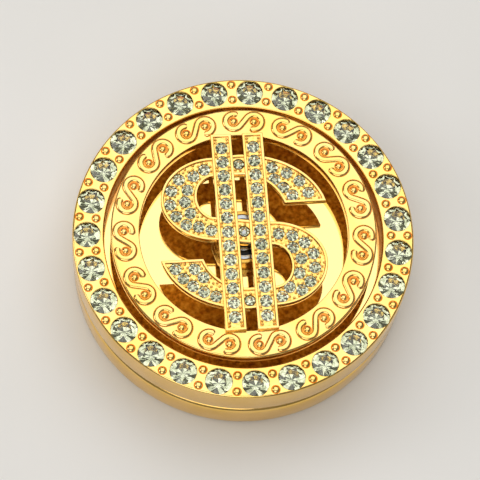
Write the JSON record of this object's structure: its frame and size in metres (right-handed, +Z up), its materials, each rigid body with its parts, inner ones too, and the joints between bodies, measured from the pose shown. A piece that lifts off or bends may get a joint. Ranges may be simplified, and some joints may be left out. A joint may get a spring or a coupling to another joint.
{
  "type": "ball marker",
  "caption": "Thick round ball marker with a grooved side and a crystal-set gold rim, in which an ornamented ring and stone-set dollar sign spin on a ball bearing over a mirror-polished plate.",
  "frame": {"origin": "centre of the flat underside", "axes": "+Z up along the spin axis, out of the jewelled face; +Y towards the top of the upright dollar sign, +X to its right"},
  "size_m": [0.05, 0.05, 0.0148],
  "materials": {
    "gold_plated_casting": "polished gold plate over cast brass, darker antiqued recesses",
    "mirror_gold_plate": "mirror polished gold-plated brass sheet",
    "crystal": "clear faceted crystal, foiled behind",
    "bearing_steel": "ground and polished bearing steel",
    "turned_brass": "fine turned brass",
    "zinc_plated_steel": "zinc-plated turned steel",
    "nickel_plated_magnet": "bright nickel plate over a rare-earth magnet"
  },
  "bodies": {
    "body": {"base_shell": "gold_plated_casting", "bezel_housing": "gold_plated_casting", "mirror_plate": "mirror_gold_plate", "rim_stone_01": "crystal", "rim_stone_02": "crystal", "rim_stone_03": "crystal", "rim_stone_04": "crystal", "rim_stone_05": "crystal", "rim_stone_06": "crystal", "rim_stone_07": "crystal", "rim_stone_08": "crystal", "rim_stone_09": "crystal", "rim_stone_10": "crystal", "rim_stone_11": "crystal", "rim_stone_12": "crystal", "rim_stone_13": "crystal", "rim_stone_14": "crystal", "rim_stone_15": "crystal", "rim_stone_16": "crystal", "rim_stone_17": "crystal", "rim_stone_18": "crystal", "rim_stone_19": "crystal", "rim_stone_20": "crystal", "rim_stone_21": "crystal", "rim_stone_22": "crystal", "rim_stone_23": "crystal", "rim_stone_24": "crystal", "rim_stone_25": "crystal", "rim_stone_26": "crystal", "rim_stone_27": "crystal", "bearing_cup": "turned_brass", "cup_nut": "turned_brass", "bearing_outer_race": "bearing_steel", "bearing_shield_upper": "bearing_steel", "bearing_shield_lower": "bearing_steel", "clip_magnet": "nickel_plated_magnet", "base_screw_1": "zinc_plated_steel", "base_screw_2": "zinc_plated_steel", "base_screw_3": "zinc_plated_steel", "base_screw_4": "zinc_plated_steel"},
    "spinner": {"spinner_ring": "gold_plated_casting", "dollar_sign": "gold_plated_casting", "spindle": "bearing_steel", "hub_shim": "turned_brass", "spindle_washer": "zinc_plated_steel", "spindle_screw": "zinc_plated_steel", "bearing_inner_race": "bearing_steel"},
    "ball_train": {"bearing_cage": "turned_brass", "bearing_ball_1": "bearing_steel", "bearing_ball_2": "bearing_steel", "bearing_ball_3": "bearing_steel", "bearing_ball_4": "bearing_steel", "bearing_ball_5": "bearing_steel", "bearing_ball_6": "bearing_steel", "bearing_ball_7": "bearing_steel"}
  },
  "joints": [
    {"name": "spinner_spin", "type": "hinge", "parent": "body", "child": "spinner", "pos_m": [0, 0, 0.0106], "axis": [0, 0, 1], "continuous": true},
    {"name": "ball_train_spin", "type": "hinge", "parent": "body", "child": "ball_train", "pos_m": [0, 0, 0.0106], "axis": [0, 0, 1], "continuous": true}
  ],
  "couplings": [
    {"joint": "ball_train_spin", "follows": "spinner_spin", "ratio": 0.4}
  ]
}
